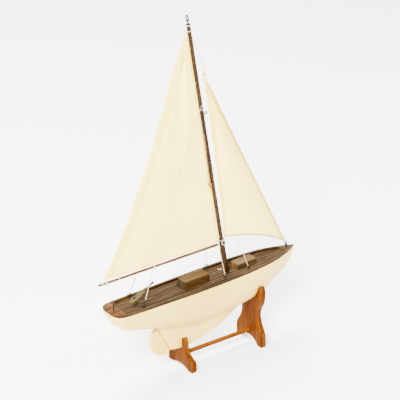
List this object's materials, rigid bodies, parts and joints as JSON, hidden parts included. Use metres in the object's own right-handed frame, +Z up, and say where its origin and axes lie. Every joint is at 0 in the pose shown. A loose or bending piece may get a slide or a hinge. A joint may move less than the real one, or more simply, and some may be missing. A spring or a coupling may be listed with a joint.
{
  "type": "model sloop on a stand",
  "caption": "Wooden model sailing sloop with fin keel, turning rudder, swinging boom, cotton sails and thread rigging, resting on a two-plate wooden stand.",
  "frame": {"origin": "the middle of the whole object's footprint, on the surface that the stand's feet are on", "axes": "+X towards the bow, +Y to port, +Z up the mast"},
  "size_m": [0.507, 0.09, 0.779],
  "materials": {
    "stand_wood": "clear varnish over reddish orange wood",
    "cream_paint": "satin cream paint over carved wood",
    "lead": "bare cast lead",
    "brass": "plain drawn brass",
    "olive_wood": "oiled light olive wood",
    "spar_wood": "dark stained and oiled wood",
    "deck_wood": "oiled planks with dark caulking",
    "rail_wood": "oiled brown wood",
    "block_wood": "oiled orange brown wood",
    "cabin_wood": "oiled brown wood",
    "boom_wood": "oiled orange brown wood",
    "sail_cotton": "unbleached cotton with sewn hems",
    "white_thread": "twisted white cotton thread",
    "steel": "dull bent wire"
  },
  "bodies": {
    "stand": {"stand_plate_aft": "stand_wood", "stand_plate_fore": "stand_wood", "stand_dowel": "stand_wood"},
    "boat": {"hull_shell": "cream_paint", "keel_fin": "cream_paint", "keel_ballast": "lead", "rudder_tube": "brass", "deck_planking": "deck_wood", "rail_port": "rail_wood", "rail_starboard": "rail_wood", "stern_block": "block_wood", "bow_block": "rail_wood", "main_cabin": "cabin_wood", "fore_hatch": "cabin_wood", "shroud_eye_port": "steel", "shroud_eye_starboard": "steel", "backstay_eye_port": "steel", "backstay_eye_starboard": "steel", "fore_eye_starboard": "steel", "mast_foot_eye": "steel", "sheet_eye": "steel", "bow_eye": "steel", "mast_base": "spar_wood", "mast": "spar_wood", "gooseneck_bolt": "steel", "masthead_eye": "steel", "hound_eye": "steel", "jib": "sail_cotton", "shroud_port": "white_thread", "downhaul_starboard": "white_thread", "backstay_hook_port": "steel", "backstay_hook_starboard": "steel", "backstay_port": "white_thread", "backstay_starboard": "white_thread", "lower_stay_starboard": "white_thread", "jib_halyard": "white_thread", "jib_tack_hook": "steel", "main_sheet": "white_thread"},
    "rudder": {"rudder_blade": "cream_paint", "rudder_stock": "brass", "tiller_head": "olive_wood", "tiller_arm": "spar_wood", "tiller_screw": "steel"},
    "boom": {"boom": "boom_wood", "boom_tip": "spar_wood", "gooseneck_eye": "steel", "mainsail": "sail_cotton"}
  },
  "joints": [
    {"name": "boat_lift", "type": "slide", "parent": "stand", "child": "boat", "axis": [0, 0, 1], "range_m": [0, 0.08]},
    {"name": "rudder_turn", "type": "hinge", "parent": "boat", "child": "rudder", "pos_m": [-0.1625, 0, 0.192], "axis": [-0.4784, 0, 0.8781], "range_deg": [-30, 30]},
    {"name": "boom_swing", "type": "hinge", "parent": "boat", "child": "boom", "pos_m": [0.05643, 0, 0.264], "axis": [-0.1695, 0, 0.9855], "range_deg": [-5, 5]}
  ]
}
